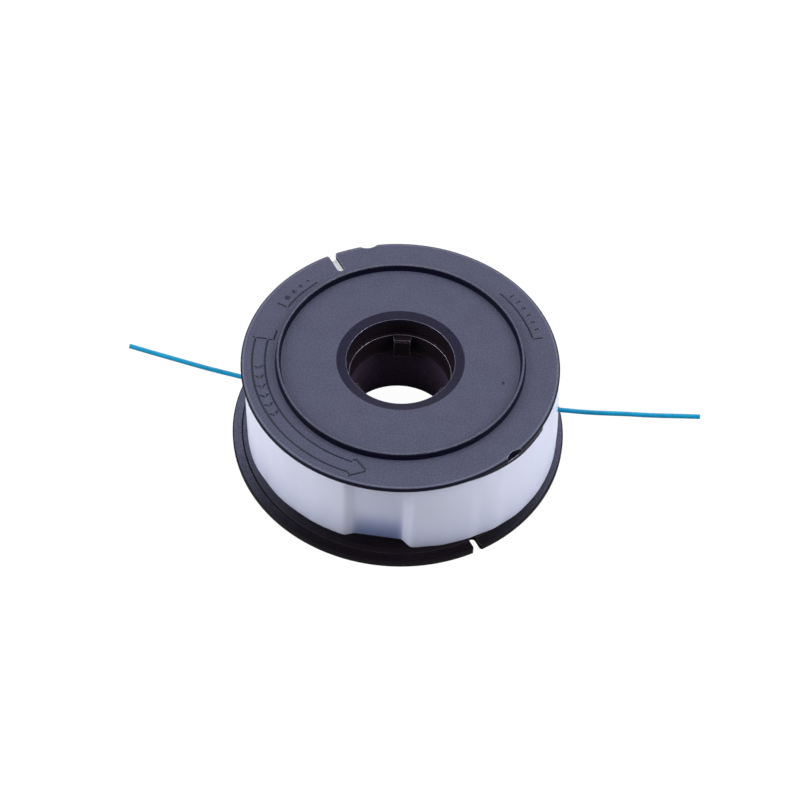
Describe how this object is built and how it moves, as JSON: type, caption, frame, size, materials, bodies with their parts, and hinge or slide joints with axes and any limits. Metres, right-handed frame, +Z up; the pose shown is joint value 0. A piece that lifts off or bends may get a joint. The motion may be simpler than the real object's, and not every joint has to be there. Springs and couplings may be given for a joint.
{
  "type": "trimmer line spool",
  "caption": "Round plastic spool of cutting line with a lugged centre bore, unequal flanges, a slot in each flange, a pale strip round the winding and a free line end on each side.",
  "frame": {"origin": "centre of the bottom face, on the spool's axis", "axes": "+Z up the spool's axis towards the smaller flange; +X towards the right line end; +Y away from the picture's camera"},
  "size_m": [0.1799, 0.1068, 0.0371],
  "materials": {
    "moulded_body": "fine moulded grain, charcoal",
    "cutting_line": "extruded nylon, blue",
    "strip_film": "milky translucent film"
  },
  "bodies": {
    "root": {"spool_body": "moulded_body", "line_winding": "cutting_line", "retaining_strip": "strip_film", "line_tail_left": "cutting_line", "line_tail_right": "cutting_line"}
  },
  "joints": []
}
